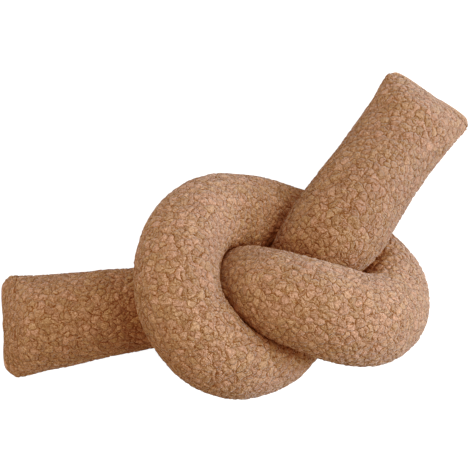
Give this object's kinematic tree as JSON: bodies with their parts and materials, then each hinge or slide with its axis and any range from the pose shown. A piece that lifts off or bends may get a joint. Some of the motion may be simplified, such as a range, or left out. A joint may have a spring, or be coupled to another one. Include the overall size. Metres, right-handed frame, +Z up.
{
  "type": "knot cushion",
  "caption": "Knot cushion: a long stuffed cloth tube with flat sewn ends, tied in a tight overhand knot, lying on its back.",
  "frame": {"origin": "centre of the bounding box's underside, on the surface the cushion lies on", "axes": "+X along the cushion's length, from the left end towards the lobe and the upper end; +Y across it in the picture's upward direction, towards the free upper end; +Z up from the floor, out of the picture"},
  "size_m": [0.6566, 0.4426, 0.2721],
  "materials": {
    "boucle_cloth": "matte looped sherpa pile in warm light brown, clumps about 10 mm across with darker creases between them"
  },
  "bodies": {
    "root": {"knot_tube": "boucle_cloth"}
  },
  "joints": []
}
